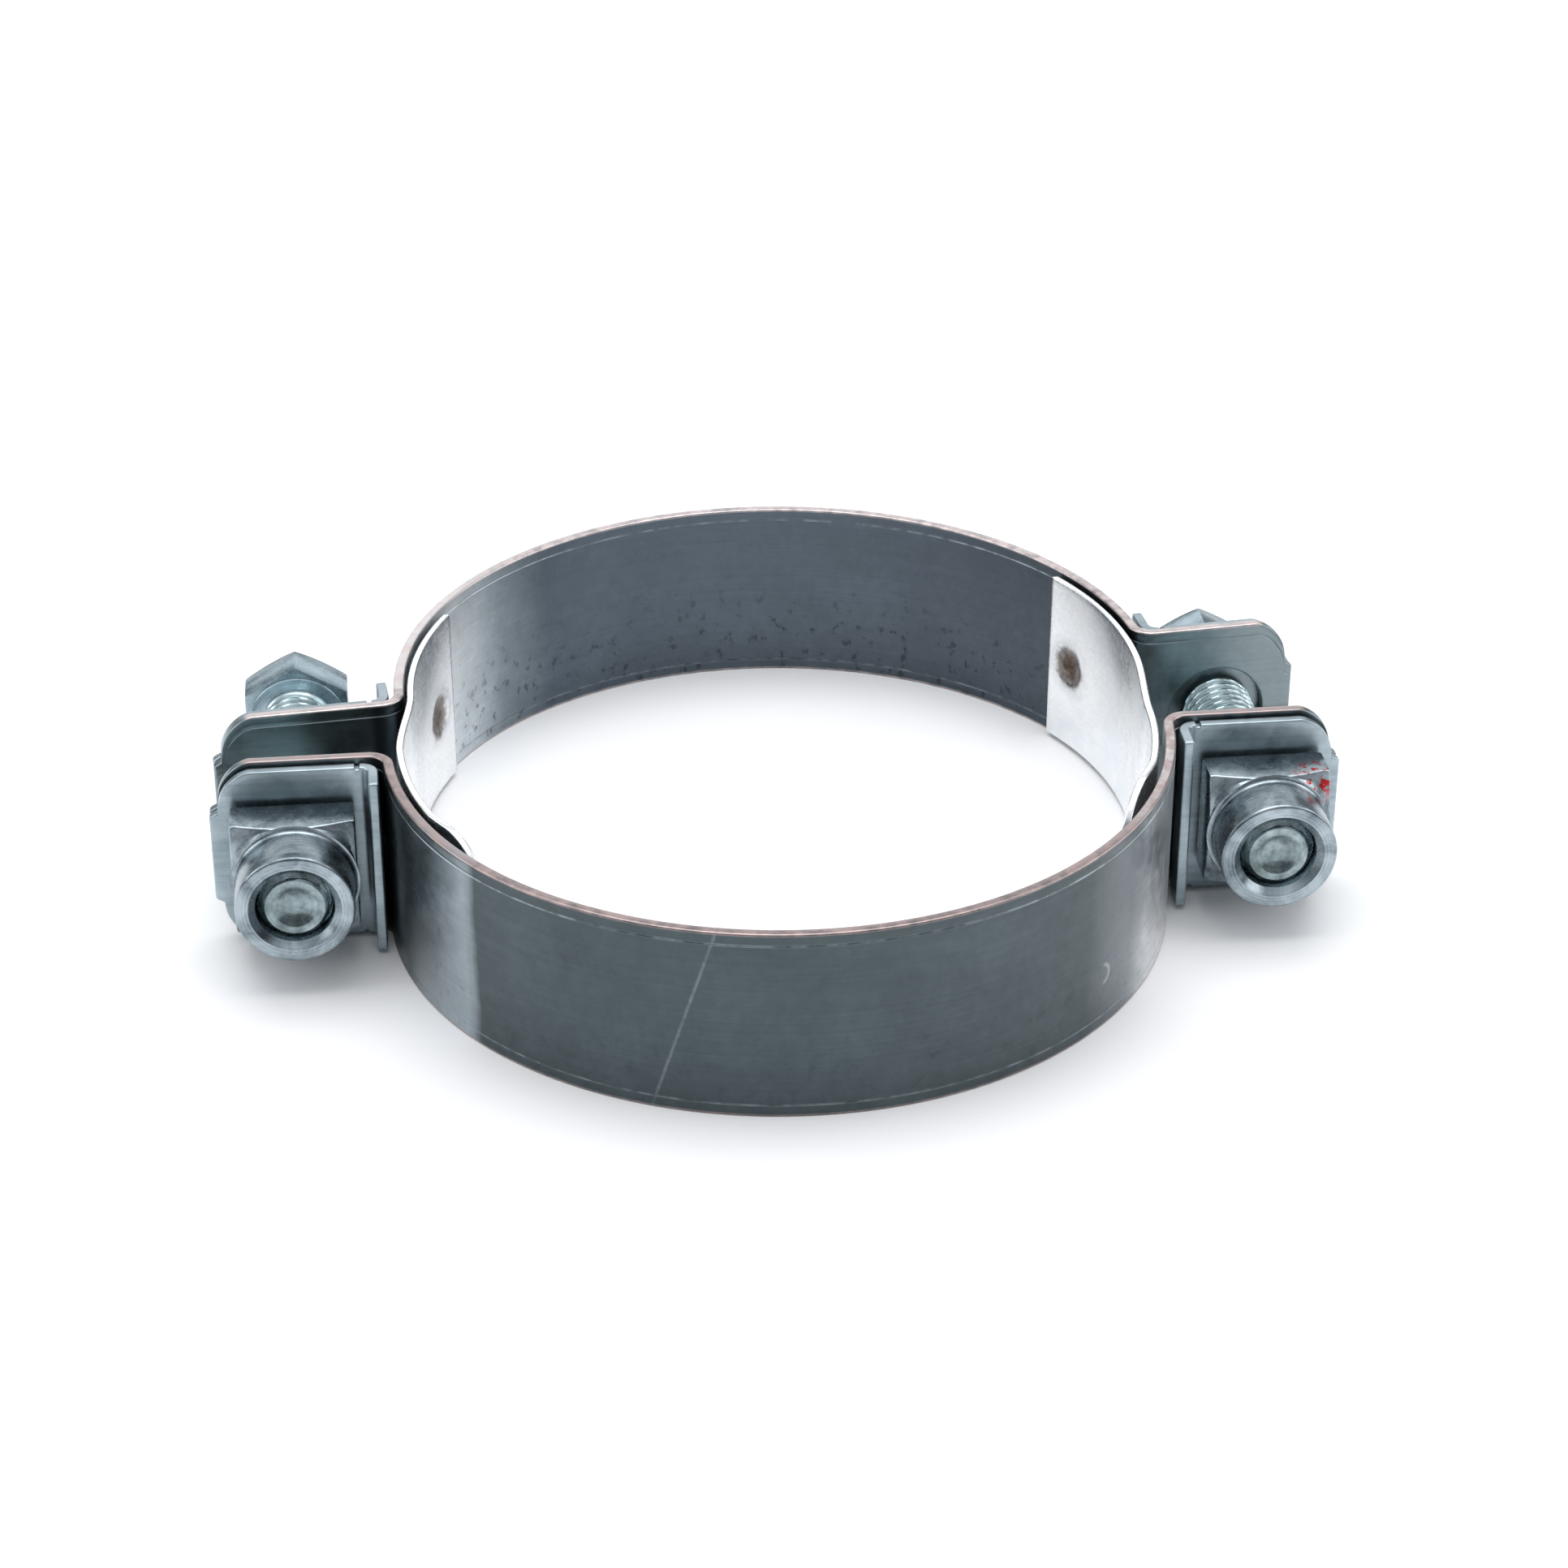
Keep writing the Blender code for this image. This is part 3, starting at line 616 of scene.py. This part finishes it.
# ---- materials -------------------------------------------------------------
class Nodes:
    """Small helper that adds and links shader nodes."""

    def __init__(self, name, slot):
        self.material = bpy.data.materials.new(name)
        self.material.use_nodes = True
        self.material["slot"] = slot
        self.tree = self.material.node_tree
        self.shader = self.tree.nodes["Principled BSDF"]
        self.shader.inputs["Metallic"].default_value = 1.0
        self.position = self.tree.nodes.new("ShaderNodeTexCoord").outputs["Object"]

    def add(self, kind, **settings):
        node = self.tree.nodes.new(kind)
        for key, value in settings.items():
            setattr(node, key, value)
        return node

    def link(self, source, target):
        self.tree.links.new(source, target)

    def math(self, operation, a, b=None, clamp=False):
        node = self.add("ShaderNodeMath", operation=operation, use_clamp=clamp)
        for socket, value in zip(node.inputs, (a, b)):
            if value is None:
                continue
            if isinstance(value, (int, float)):
                socket.default_value = value
            else:
                self.link(value, socket)
        return node.outputs[0]

    def hypot(self, a, b):
        squares = self.math("ADD", self.math("MULTIPLY", a, a), self.math("MULTIPLY", b, b))
        return self.math("SQRT", squares)

    def distance(self, point):
        """How far the shaded point is from a fixed one."""
        node = self.add("ShaderNodeVectorMath", operation="DISTANCE")
        self.link(self.position, node.inputs[0])
        node.inputs[1].default_value = point
        return node.outputs["Value"]

    def separate(self, vector):
        node = self.add("ShaderNodeSeparateXYZ")
        self.link(vector, node.inputs[0])
        return node.outputs

    def combine(self, x, y, z):
        node = self.add("ShaderNodeCombineXYZ")
        for socket, value in zip(node.inputs, (x, y, z)):
            if isinstance(value, (int, float)):
                socket.default_value = value
            else:
                self.link(value, socket)
        return node.outputs[0]

    def scaled(self, vector, scale):
        node = self.add("ShaderNodeVectorMath", operation="MULTIPLY")
        self.link(vector, node.inputs[0])
        node.inputs[1].default_value = scale
        return node.outputs[0]

    def noise(self, vector, scale, detail=4.0, roughness=0.55, distortion=0.0):
        node = self.add("ShaderNodeTexNoise")
        self.link(vector, node.inputs["Vector"])
        node.inputs["Scale"].default_value = scale
        node.inputs["Detail"].default_value = detail
        node.inputs["Roughness"].default_value = roughness
        node.inputs["Distortion"].default_value = distortion
        return node.outputs["Fac"]

    def ramp(self, value, stops):
        """Grey levels or colours at positions from 0 to 1."""
        node = self.add("ShaderNodeValToRGB")
        self.link(value, node.inputs[0])
        elements = node.color_ramp.elements
        for i, (position, colour) in enumerate(stops):
            element = elements[i] if i < 2 else elements.new(position)
            element.position = position
            if isinstance(colour, (int, float)):
                colour = (colour, colour, colour)
            element.color = (*colour, 1.0)
        return node.outputs[0]

    def mix(self, share, a, b, blend="MIX"):
        node = self.add("ShaderNodeMix", data_type="RGBA", blend_type=blend)
        for socket, value in ((node.inputs[0], share), (node.inputs[6], a), (node.inputs[7], b)):
            if isinstance(value, (int, float)):
                socket.default_value = value
            elif isinstance(value, tuple):
                socket.default_value = (*value, 1.0)
            else:
                self.link(value, socket)
        return node.outputs[2]

    def bump(self, height, distance, strength=1.0, onto=None):
        node = self.add("ShaderNodeBump")
        node.inputs["Distance"].default_value = distance
        node.inputs["Strength"].default_value = strength
        self.link(height, node.inputs["Height"])
        if onto is not None:
            self.link(onto, node.inputs["Normal"])
        return node.outputs[0]

    def finish(self, colour, roughness, normal):
        self.link(colour, self.shader.inputs["Base Color"])
        self.link(roughness, self.shader.inputs["Roughness"])
        self.link(normal, self.shader.inputs["Normal"])
        return self.material


def band_material(name, slot, centre, tones_and_painted_light, rim_tone, speckle, scratch_and_dent_glint=False):
    """Rolled galvanised strip: tone by place round the ring, which holds painted shade and painted
    highlights, rolling lines and speckle.
    """
    n = Nodes(name, slot)
    x, y, z = n.separate(n.position)
    angle = n.math("ARCTAN2", n.math("SUBTRACT", y, centre[1]), n.math("SUBTRACT", x, centre[0]))
    height = n.math("SUBTRACT", z, MID_HEIGHT)
    arc = n.math("MULTIPLY", angle, FRONT_RADIUS)
    strip = n.combine(arc, z, 0.0)
    clouds = n.noise(n.position, 95.0, 5.0, 0.6, 0.4)
    mottle = n.noise(n.position, 620.0, 4.0, 0.65)
    rolling = n.noise(n.scaled(strip, (35.0, 2600.0, 1.0)), 1.0, 3.0, 0.6)
    wander = n.math("MULTIPLY", n.math("SUBTRACT", clouds, 0.5), 0.06)
    turn = n.math("ADD", n.math("DIVIDE", n.math("ADD", angle, wander), 2 * math.pi), 0.5)
    # Base colour by angle round the ring, with its painted shade and painted highlights.
    base = n.ramp(turn, [((degrees + 180) / 360, colour) for degrees, colour in tones_and_painted_light])
    ear = n.ramp(n.math("DIVIDE", n.math("ABSOLUTE", x), EAR_REACH), [(0.705, 0.0), (0.72, 1.0)])
    # The ears take their own base colour, which is painted shade.
    base = n.mix(ear, base, EAR_SHADE_TONE)
    tone = n.math("ADD", n.math("MULTIPLY", clouds, 0.45), n.math("MULTIPLY", mottle, 0.35))
    tone = n.math("ADD", tone, n.math("MULTIPLY", rolling, 0.20))
    shade = n.ramp(tone, [(0.34, 0.66), (0.50, 0.80), (0.66, 1.0)])
    colour = n.mix(1.0, base, shade, "MULTIPLY")
    spots = n.noise(n.scaled(strip, (1.0, 0.75, 1.0)), 780.0, 3.0, 0.6)
    low = n.ramp(n.math("ADD", n.math("DIVIDE", height, BAND_HALF * 2), 0.5), [(0.25, 1.0), (0.6, 0.15)])
    spot_mask = n.math("MULTIPLY", n.ramp(spots, [(0.58, 0.0), (0.66, 1.0)]), low)
    colour = n.mix(n.math("MULTIPLY", spot_mask, speckle), colour, (0.02, 0.025, 0.03))
    from_edge = n.math("SUBTRACT", BAND_HALF, n.math("ABSOLUTE", height))
    off_line = n.math("ABSOLUTE", n.math("SUBTRACT", from_edge, COIN_OFFSET))
    line = n.ramp(n.math("DIVIDE", off_line, 0.5 * MM), [(0.10, 1.0), (0.34, 0.0)])
    dashes = n.ramp(n.noise(n.scaled(strip, (500.0, 120.0, 1.0)), 1.0, 2.0), [(0.40, 0.15), (0.62, 0.75)])
    colour = n.mix(n.math("MULTIPLY", line, dashes), colour, (0.30, 0.34, 0.37))
    if scratch_and_dent_glint:
        slant = n.math("MULTIPLY", height, math.radians(SCRATCH_SLANT) / BAND_HALF)
        off = n.math("ABSOLUTE", n.math("SUBTRACT", n.math("SUBTRACT", angle, slant),
                                        math.radians(SCRATCH_AT)))
        mark = n.ramp(n.math("DIVIDE", off, math.radians(2.0)), [(0.05, 1.0), (0.16, 0.0)])
        mark = n.math("MULTIPLY", mark, n.ramp(mottle, [(0.40, 0.14), (0.62, 0.40)]))
        colour = n.mix(mark, colour, (0.30, 0.34, 0.37))
        # Dent: a lighter half ring on one side of its rim, a painted highlight.
        across = n.math("SUBTRACT", arc, math.radians(DENT_AT) * FRONT_RADIUS)
        up = n.math("SUBTRACT", height, DENT_HEIGHT)
        away = n.hypot(across, up)
        ring = n.math("DIVIDE", n.math("ABSOLUTE", n.math("SUBTRACT", away, DENT_RADIUS)), DENT_RADIUS)
        ring = n.ramp(ring, [(0.10, 1.0), (0.26, 0.0)])
        dent_glint_half = n.ramp(n.math("ADD", n.math("DIVIDE", across, DENT_RADIUS * 4), 0.5),
                           [(0.48, 0.0), (0.60, 0.6)])
        colour = n.mix(n.math("MULTIPLY", ring, dent_glint_half), colour, (0.45, 0.48, 0.50))
    rim = n.ramp(n.math("DIVIDE", from_edge, BAND_HALF), [(0.012, 1.0), (0.030, 0.0)])
    rim = n.math("MULTIPLY", rim, n.ramp(mottle, [(0.35, 0.45), (0.6, 1.0)]))
    colour = n.mix(rim, colour, rim_tone)
    roughness = n.ramp(n.math("ADD", n.math("MULTIPLY", mottle, 0.6), n.math("MULTIPLY", clouds, 0.4)),
                       [(0.35, 0.26), (0.7, 0.42)])
    normal = n.bump(rolling, 0.00002, 0.25)
    normal = n.bump(mottle, 0.00004, 0.22, normal)
    return n.finish(colour, roughness, normal)


def plate_material(name, slot, dark, light):
    """Small pressed plates: dull zinc with soft stains and fine grain."""
    n = Nodes(name, slot)
    clouds = n.noise(n.position, 160.0, 5.0, 0.6, 0.5)
    grain = n.noise(n.position, 1500.0, 3.0, 0.6)
    streaks = n.noise(n.scaled(n.position, (60.0, 400.0, 1800.0)), 1.0, 3.0, 0.6)
    tone = n.math("ADD", n.math("MULTIPLY", clouds, 0.7), n.math("MULTIPLY", streaks, 0.3))
    colour = n.ramp(tone, [(0.36, dark), (0.64, light)])
    roughness = n.ramp(n.math("ADD", n.math("MULTIPLY", grain, 0.5), n.math("MULTIPLY", clouds, 0.5)),
                       [(0.35, 0.30), (0.7, 0.48)])
    normal = n.bump(grain, 0.00003, 0.35)
    normal = n.bump(streaks, 0.00003, 0.3, normal)
    return n.finish(colour, roughness, normal)


def bridge_material(name, slot, welds):
    """Bright galvanised strip with a brown heat tint round each spot weld."""
    n = Nodes(name, slot)
    clouds = n.noise(n.position, 120.0, 5.0, 0.6, 0.6)
    grain = n.noise(n.position, 1300.0, 3.0, 0.6)
    x, y, z = n.separate(n.position)
    strip = n.combine(n.math("MULTIPLY", n.math("ARCTAN2", y, x), REAR_RADIUS), z, 0.0)
    rolling = n.noise(n.scaled(strip, (40.0, 2400.0, 1.0)), 1.0, 3.0, 0.6)
    tone = n.math("ADD", n.math("MULTIPLY", clouds, 0.75), n.math("MULTIPLY", rolling, 0.25))
    colour = n.ramp(tone, [(0.34, (0.86, 0.90, 0.93)), (0.60, (1.0, 1.0, 1.0))])
    ragged = n.noise(n.position, 900.0, 3.0, 0.6)
    for centre in welds:
        ripple = n.math("MULTIPLY", n.math("SUBTRACT", ragged, 0.5), 0.0016)
        away = n.math("ADD", n.distance(centre), ripple)
        tint = n.ramp(n.math("DIVIDE", away, WELD_RADIUS * 2),
                      [(0.20, 1.0), (0.44, 0.8), (0.60, 0.15), (0.9, 0.0)])
        brown = n.ramp(ragged, [(0.3, (0.035, 0.022, 0.016)), (0.7, (0.16, 0.11, 0.08))])
        colour = n.mix(tint, colour, brown)
    roughness = n.ramp(n.math("ADD", n.math("MULTIPLY", grain, 0.5), n.math("MULTIPLY", clouds, 0.5)),
                       [(0.35, 0.20), (0.7, 0.36)])
    normal = n.bump(rolling, 0.00002, 0.3)
    normal = n.bump(grain, 0.00002, 0.3, normal)
    return n.finish(colour, roughness, normal)


def turned_material(name, slot, dark, light, centre, paint=None, ends=None):
    """Bright zinc over turning marks that run round an axis along Y."""
    n = Nodes(name, slot)
    x, y, z = n.separate(n.position)
    dx = n.math("SUBTRACT", x, centre[0])
    dz = n.math("SUBTRACT", z, centre[1])
    radius = n.hypot(dx, dz)
    lathe = n.noise(n.combine(n.math("MULTIPLY", radius, 5200.0), n.math("MULTIPLY", y, 3800.0), 0.0),
                    1.0, 2.0, 0.6)
    clouds = n.noise(n.position, 260.0, 5.0, 0.62, 0.6)
    grain = n.noise(n.position, 2200.0, 3.0, 0.6)
    tone = n.math("ADD", n.math("MULTIPLY", clouds, 0.7), n.math("MULTIPLY", lathe, 0.3))
    colour = n.ramp(tone, [(0.34, dark), (0.62, light)])
    if ends is not None:
        low, high = ends
        head = n.math("GREATER_THAN", y, high.y - HEAD_HEIGHT - 0.2 * MM)
        colour = n.mix(head, colour, n.mix(1.0, colour, (0.50, 0.52, 0.56), "MULTIPLY"))
        # Painted shade: the bolt's dished tip is darkened by a noisy ramp.
        tip = n.math("LESS_THAN", y, low.y + 0.9 * MM)
        painted_dish_shade = n.ramp(n.noise(n.position, 600.0, 3.0, 0.6), [(0.36, 0.26), (0.66, 0.58)])
        colour = n.mix(tip, colour, n.mix(1.0, colour, painted_dish_shade, "MULTIPLY"))
    if paint is not None:
        near = n.ramp(n.math("DIVIDE", n.distance(paint), 4 * MM), [(0.35, 1.0), (0.8, 0.0)])
        flecks = n.ramp(n.noise(n.position, 1100.0, 3.0, 0.6), [(0.54, 0.0), (0.58, 1.0)])
        mask = n.math("MULTIPLY", near, flecks)
        colour = n.mix(mask, colour, (0.45, 0.03, 0.03))
    roughness = n.ramp(n.math("ADD", n.math("MULTIPLY", grain, 0.4), n.math("MULTIPLY", clouds, 0.6)),
                       [(0.35, 0.18), (0.7, 0.38)])
    normal = n.bump(lathe, 0.00002, 0.35)
    normal = n.bump(grain, 0.00002, 0.25, normal)
    return n.finish(colour, roughness, normal)


# ---- build -----------------------------------------------------------------
def bolt_axis(side_name):
    """X and Z of a bolt's axis, from its joint."""
    joint = next(j for j in frame["joints"] if j["name"] == f"bolt_{side_name}_turn")
    return joint["pos_m"][0], joint["pos_m"][2]


def build_bands(materials):
    for name, half, body in (("front_band", FRONT, "front_half"), ("rear_band", REAR, "rear_half")):
        sheet = Sheet(BAND_THICKNESS, coined=True, level_step=1.0 * MM)
        path, halves = split(half_band_stations(half))
        mesh = sheet.mesh(name, path, halves, half.place)
        for side in SIDES.values():
            bolt_x = abs(bolt_axis("left")[0])
            cutter = hole_cutter(EAR_HOLE_DIAMETER, BAND_THICKNESS, side * bolt_x,
                                 half.ear_face + BAND_THICKNESS / 2, half.place)
            mesh = bored(mesh, cutter)
        smooth(mesh)
        add_piece(f"{name}_formed", mesh, materials[name], body, name)


def build_backing_plates(material):
    for half, where, body in ((FRONT, "front", "front_half"), (REAR, "rear", "rear_half")):
        for side_name, side in SIDES.items():
            own = -side if where == "front" else side
            path, halves = split(mirrored(backing_plate_stations(half, own), own))
            node = f"{where}_backing_plate_{side_name}"
            mesh = Sheet(PLATE_THICKNESS, level_step=2.0 * MM).mesh(node, path, halves, half.place)
            cutter = hole_cutter(PLATE_HOLE_DIAMETER, PLATE_THICKNESS,
                                 own * abs(bolt_axis("left")[0]), half.plate_mid_y(), half.place)
            mesh = bored(mesh, cutter)
            smooth(mesh)
            add_piece(f"{node}_pressed", mesh, material, body, node)


def weld_centre(side_name):
    """Middle of a spot weld on the bridge plate's inner face."""
    points = [Vector((x, y)) for x, y, high in bridge_stations(side_name)]
    gone = 0.0
    for near, far in zip(points, points[1:]):
        gone += (far - near).length
        if gone > WELD_FROM_TAIL[side_name]:
            break
    along = (far - near).normalized()
    spot = far + Vector((along.y, -along.x)) * BRIDGE_THICKNESS / 2
    return Vector((SIDES[side_name] * spot.x, spot.y, MID_HEIGHT + WELD_HEIGHT[side_name]))


def build_bridges(material):
    for side_name, side in SIDES.items():
        path, halves = split(mirrored(bridge_stations(side_name), side))
        total = sum(math.dist(a, b) for a, b in zip(path, path[1:]))
        from_tail = WELD_FROM_TAIL[side_name]
        start = from_tail if side == 1 else total - from_tail
        sheet = Sheet(BRIDGE_THICKNESS, level_step=0.35 * MM)
        sheet.relief = weld_relief(1, start, WELD_HEIGHT[side_name])
        node = f"bridge_plate_{side_name}"
        mesh = sheet.mesh(node, path, halves, Matrix.Identity(4))
        smooth(mesh)
        add_piece(f"{node}_rolled", mesh, material, "rear_half", node)


def build_nuts(materials):
    for side_name in SIDES:
        node = f"square_nut_{side_name}"
        low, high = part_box(node)
        x, z = bolt_axis(side_name)
        place = Matrix.Translation((x, high.y, z)) @ Matrix.Rotation(math.pi / 2, 4, "X")
        mesh = skin(node, nut_loops(place, high.y - low.y), ring=True)
        smooth(mesh)
        add_piece(f"{node}_turned", mesh, materials[side_name], "front_half", node)


def build_bolts(materials):
    for side_name in SIDES:
        node = f"hex_bolt_{side_name}"
        low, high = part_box(node)
        x, z = bolt_axis(side_name)
        under_head = high.y - HEAD_HEIGHT
        place = Matrix.Translation((x, under_head, z)) @ Matrix.Rotation(math.pi / 2, 4, "X")
        mesh = skin(node, bolt_loops(place, under_head - low.y))
        smooth(mesh)
        add_piece(f"{node}_threaded", mesh, materials[side_name], f"bolt_{side_name}", node)


def area_light(name, location, target, size, power):
    data = bpy.data.lights.new(name, "AREA")
    data.shape = "RECTANGLE"
    data.size, data.size_y = size
    data.energy = power
    light = bpy.data.objects.new(name, data)
    bpy.context.scene.collection.objects.link(light)
    light.location = location
    light.rotation_mode = "QUATERNION"
    light.rotation_quaternion = (Vector(target) - Vector(location)).to_track_quat("-Z", "Y")


def build_stage():
    bpy.ops.mesh.primitive_plane_add(size=3.0, location=(0, 0, RIM_LOW - 0.00002))
    floor = bpy.context.active_object
    floor.name = "floor"
    n = Nodes("floor_paper", "")
    n.shader.inputs["Metallic"].default_value = 0.0
    n.shader.inputs["Base Color"].default_value = (0.93, 0.93, 0.94, 1.0)
    n.shader.inputs["Roughness"].default_value = 0.9
    floor.data.materials.append(n.material)
    area_light("top_softbox", (0.0, 0.06, 0.60), (0, 0, 0), (0.6, 0.5), 2.2)
    area_light("left_softbox", (-0.50, 0.02, 0.24), (0, 0, 0.01), (0.5, 0.3), 0.9)
    area_light("right_softbox", (0.50, -0.02, 0.24), (0, 0, 0.01), (0.5, 0.3), 0.9)
    area_light("back_softbox", (0.0, 0.60, 0.25), (0, 0, 0.01), (0.8, 0.3), 0.9)
    world = bpy.data.worlds.new("studio")
    world.use_nodes = True
    tree = world.node_tree
    direction = tree.nodes.new("ShaderNodeTexCoord")
    split_up = tree.nodes.new("ShaderNodeSeparateXYZ")
    sky = tree.nodes.new("ShaderNodeValToRGB")
    tree.links.new(direction.outputs["Generated"], split_up.inputs[0])
    tree.links.new(split_up.outputs[2], sky.inputs[0])
    tree.links.new(sky.outputs[0], tree.nodes["Background"].inputs["Color"])
    low, high = sky.color_ramp.elements
    low.position, high.position = 0.45, 0.85
    low.color, high.color = (0.22, 0.235, 0.25, 1.0), (0.95, 0.97, 1.0, 1.0)
    bpy.context.scene.world = world
    bpy.context.scene.view_settings.view_transform = "Standard"


def build_camera():
    data = bpy.data.cameras.new("camera")
    data.sensor_width = 36.0
    data.lens = 86.91
    data.clip_start = 0.01
    data.clip_end = 10.0
    camera = bpy.data.objects.new("camera", data)
    bpy.context.scene.collection.objects.link(camera)
    target = Vector((1.22 * MM, -0.16 * MM, MID_HEIGHT))
    camera.location = Vector((-35.96 * MM, -356.31 * MM, MID_HEIGHT + 203.61 * MM))
    camera.rotation_mode = "QUATERNION"
    camera.rotation_quaternion = (target - camera.location).to_track_quat("-Z", "Y")
    bpy.context.scene.camera = camera


def main():
    build_stage()
    build_camera()
    bands = {
        "front_band": band_material("band_zinc_front", "band_zinc", (0, -FRONT_SHIFT),
                                    FRONT_TONES_AND_PAINTED_LIGHT, (0.42, 0.33, 0.32), 0.15, scratch_and_dent_glint=True),
        "rear_band": band_material("band_zinc_rear", "band_zinc", REAR_CENTRE, REAR_TONES_AND_PAINTED_HIGHLIGHT,
                                   (0.62, 0.54, 0.53), 0.55),
    }
    plate = plate_material("plate_zinc", "plate_zinc", (0.25, 0.31, 0.34), (0.46, 0.54, 0.58))
    bridge = bridge_material("bridge_zinc", "bridge_zinc", [weld_centre(name) for name in SIDES])
    nuts, bolts = {}, {}
    for side_name in SIDES:
        axis = bolt_axis(side_name)
        paint = None
        if side_name == "right":
            low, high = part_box("square_nut_right")
            paint = Vector((high.x - 1.5 * MM, high.y - NUT_BODY_HEIGHT + 1.0 * MM, high.z - 0.8 * MM))
        nuts[side_name] = turned_material(f"nut_zinc_{side_name}", "nut_zinc", (0.10, 0.13, 0.15),
                                          (0.44, 0.51, 0.55), axis, paint)
        bolts[side_name] = turned_material(f"bolt_zinc_{side_name}", "bolt_zinc", (0.38, 0.50, 0.52),
                                           (0.78, 0.94, 0.97), axis,
                                           ends=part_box(f"hex_bolt_{side_name}"))
    build_bands(bands)
    build_backing_plates(plate)
    build_bridges(bridge)
    build_nuts(nuts)
    build_bolts(bolts)


main()
